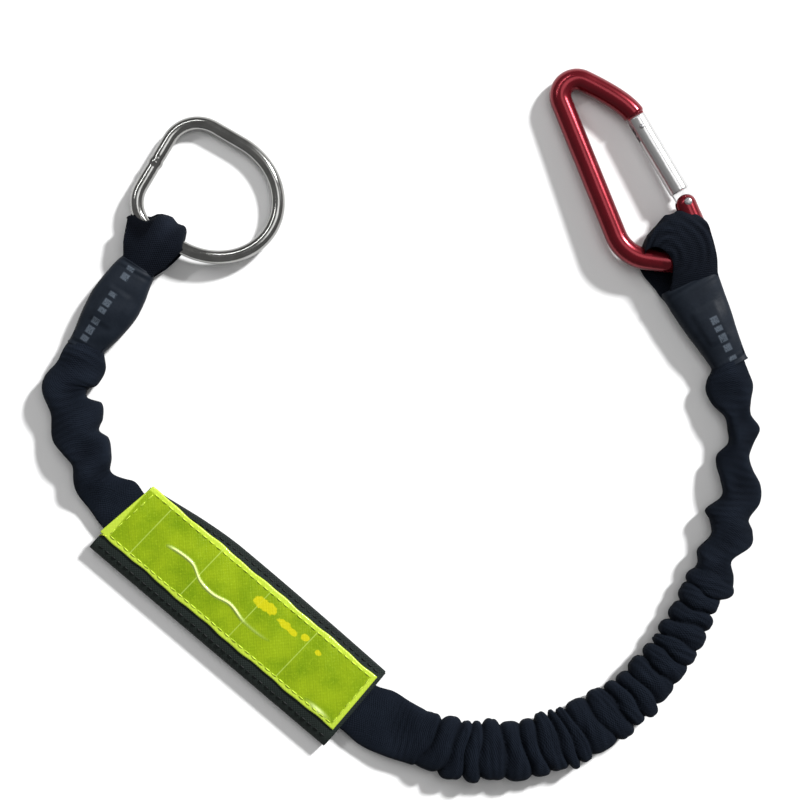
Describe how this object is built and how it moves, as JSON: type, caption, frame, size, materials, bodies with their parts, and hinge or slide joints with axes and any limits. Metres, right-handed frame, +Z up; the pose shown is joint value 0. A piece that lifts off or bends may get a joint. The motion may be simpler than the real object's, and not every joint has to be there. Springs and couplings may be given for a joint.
{
  "type": "tool lanyard",
  "caption": "Shock-absorbing tool lanyard of gathered elastic webbing with a D-ring end, a small carabiner end and a hook-and-loop sleeve carrying reflective tape.",
  "frame": {"origin": "middle of the sleeve's underside, on the surface the lanyard lies on", "axes": "+Z up from that surface; the lanyard lies in an open U with both ends towards +Y, the D-ring end at -X and the carabiner end at +X"},
  "size_m": [0.2646, 0.2589, 0.0138],
  "materials": {
    "webbing": "woven polyester, gathered",
    "elastic": "latex strands",
    "shrink_tube": "shrunk on, satin",
    "sleeve_cloth": "coated nylon",
    "hook_and_loop": "hook and loop",
    "thread": "bonded thread",
    "tape": "prismatic reflective",
    "tape_thread": "bonded thread",
    "steel": "plated, bright",
    "red_aluminium": "anodised, satin",
    "bare_aluminium": "satin",
    "spring_steel": "bright drawn"
  },
  "bodies": {
    "webbing": {"sleeve_section_webbing": "webbing", "sleeve_section_elastic": "elastic"},
    "sleeve": {"sleeve_back_panel": "sleeve_cloth", "sleeve_hook_strip": "hook_and_loop"},
    "sleeve_flap": {"sleeve_front_panel": "sleeve_cloth", "sleeve_loop_strip": "hook_and_loop", "reflective_tape": "tape", "tape_stitching": "tape_thread"},
    "ring_arm": {"ring_side_webbing": "webbing", "ring_side_elastic": "elastic", "ring_end_shrink_tube": "shrink_tube", "ring_end_sewn_webbing": "webbing", "ring_end_bar_tack": "thread"},
    "ring_eye": {"ring_end_eye": "webbing"},
    "ring": {"d_ring": "steel"},
    "carabiner_arm": {"carabiner_side_webbing": "webbing", "carabiner_side_elastic": "elastic", "stretch_webbing": "webbing", "stretch_elastic": "elastic"},
    "carabiner_end": {"carabiner_end_shrink_tube": "shrink_tube", "carabiner_end_sewn_webbing": "webbing", "carabiner_end_bar_tack": "thread"},
    "carabiner_eye": {"carabiner_end_eye": "webbing"},
    "carabiner": {"carabiner_body": "red_aluminium", "gate_rivet": "bare_aluminium"},
    "gate": {"gate": "bare_aluminium", "gate_latch_pin": "spring_steel", "gate_spring": "spring_steel"},
    "plunger": {"gate_plunger": "spring_steel"}
  },
  "joints": [
    {"name": "sleeve_slide", "type": "slide", "parent": "webbing", "child": "sleeve", "axis": [0.7627, -0.6468, 0], "range_m": [-0.004, 0.004]},
    {"name": "sleeve_open", "type": "hinge", "parent": "sleeve", "child": "sleeve_flap", "pos_m": [-0.01077, -0.0127, 0.0019], "axis": [0.7627, -0.6468, 0], "range_deg": [0, 150]},
    {"name": "ring_arm_bend", "type": "hinge", "parent": "webbing", "child": "ring_arm", "pos_m": [-0.05233, 0.04814, 0.0045], "axis": [0, 0, 1], "range_deg": [-10, 25]},
    {"name": "ring_eye_fold", "type": "hinge", "parent": "ring_arm", "child": "ring_eye", "pos_m": [-0.03485, 0.12639, 0.0045], "axis": [0.8339, -0.5519, 0], "range_deg": [0, 80]},
    {"name": "ring_swing", "type": "hinge", "parent": "ring_eye", "child": "ring", "pos_m": [-0.0246, 0.1484, 0.0054], "axis": [0.0358, 0.0541, 0.9979], "range_deg": [-12, 12]},
    {"name": "carabiner_arm_bend", "type": "hinge", "parent": "webbing", "child": "carabiner_arm", "pos_m": [0.06116, -0.0458, 0.0045], "axis": [0, 0, 1], "range_deg": [-20, 8]},
    {"name": "webbing_stretch", "type": "slide", "parent": "carabiner_arm", "child": "carabiner_end", "axis": [-0.4552, 0.8904, 0], "range_m": [0, 0.06], "deforming": ["stretch_webbing", "stretch_elastic"]},
    {"name": "carabiner_eye_fold", "type": "hinge", "parent": "carabiner_end", "child": "carabiner_eye", "pos_m": [0.1637, 0.12042, 0.0045], "axis": [0.8904, 0.4552, 0], "range_deg": [0, 40]},
    {"name": "carabiner_swing", "type": "hinge", "parent": "carabiner_eye", "child": "carabiner", "pos_m": [0.1561, 0.1371, 0.0069], "axis": [-0.0174, 0.034, 0.9993], "range_deg": [-8, 10]},
    {"name": "gate_open", "type": "hinge", "parent": "carabiner", "child": "gate", "pos_m": [0.16334, 0.14807, 0.00626], "axis": [-0.0174, 0.034, 0.9993], "range_deg": [0, 24], "stiffness_Nm_per_rad": 0.02, "springref_deg": -17.19},
    {"name": "gate_plunger_travel", "type": "slide", "parent": "gate", "child": "plunger", "axis": [-0.5046, 0.8634, 0], "range_m": [0, 0.0017], "deforming": ["gate_spring"]}
  ],
  "couplings": [
    {"joint": "gate_plunger_travel", "follows": "gate_open", "m_per_rad": 0.0038}
  ]
}
